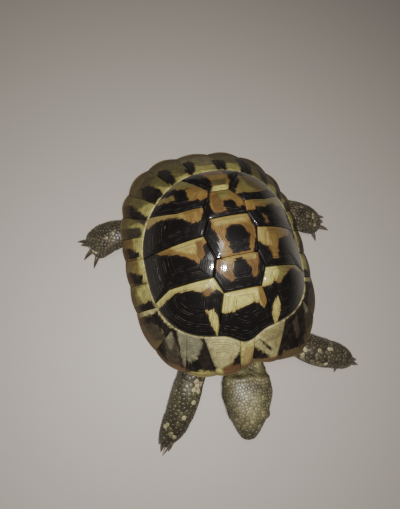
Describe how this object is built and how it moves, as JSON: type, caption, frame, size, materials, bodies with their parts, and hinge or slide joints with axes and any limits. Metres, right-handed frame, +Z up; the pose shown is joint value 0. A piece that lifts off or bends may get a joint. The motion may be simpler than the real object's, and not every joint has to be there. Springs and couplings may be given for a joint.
{
  "type": "tortoise",
  "caption": "Life-size still model of a young tortoise standing on stretched legs with its head out, under a domed shell of separate horny plates.",
  "frame": {"origin": "middle of the model's box at the level of its soles", "axes": "+Z up, -Y the way the shell faces, +X the animal's left side"},
  "size_m": [0.1568, 0.1632, 0.0678],
  "materials": {
    "horn": "glossy horn, amber and black",
    "belly_horn": "smooth horn, yellow and black",
    "skin": "dry scaly skin",
    "eye": "wet, dark"
  },
  "bodies": {
    "root": {"vertebral_scute_1": "horn", "vertebral_scute_2": "horn", "vertebral_scute_3": "horn", "vertebral_scute_4": "horn", "vertebral_scute_5": "horn", "costal_scute_left_1": "horn", "costal_scute_left_2": "horn", "costal_scute_left_3": "horn", "costal_scute_left_4": "horn", "costal_scute_right_1": "horn", "costal_scute_right_2": "horn", "costal_scute_right_3": "horn", "costal_scute_right_4": "horn", "nuchal_scute": "horn", "supracaudal_scute": "horn", "marginal_scute_left_1": "horn", "marginal_scute_left_2": "horn", "marginal_scute_left_3": "horn", "marginal_scute_left_4": "horn", "marginal_scute_left_5": "horn", "marginal_scute_left_6": "horn", "marginal_scute_left_7": "horn", "marginal_scute_left_8": "horn", "marginal_scute_left_9": "horn", "marginal_scute_left_10": "horn", "marginal_scute_left_11": "horn", "marginal_scute_right_1": "horn", "marginal_scute_right_2": "horn", "marginal_scute_right_3": "horn", "marginal_scute_right_4": "horn", "marginal_scute_right_5": "horn", "marginal_scute_right_6": "horn", "marginal_scute_right_7": "horn", "marginal_scute_right_8": "horn", "marginal_scute_right_9": "horn", "marginal_scute_right_10": "horn", "marginal_scute_right_11": "horn", "gular_scute_left": "belly_horn", "gular_scute_right": "belly_horn", "humeral_scute_left": "belly_horn", "humeral_scute_right": "belly_horn", "pectoral_scute_left": "belly_horn", "pectoral_scute_right": "belly_horn", "abdominal_scute_left": "belly_horn", "abdominal_scute_right": "belly_horn", "femoral_scute_left": "belly_horn", "femoral_scute_right": "belly_horn", "anal_scute_left": "belly_horn", "anal_scute_right": "belly_horn", "trunk": "skin", "neck": "skin", "head": "skin", "tail": "skin", "foreleg_left": "skin", "foreleg_right": "skin", "hindleg_left": "skin", "hindleg_right": "skin", "eye_left": "eye", "eye_right": "eye"}
  },
  "joints": []
}
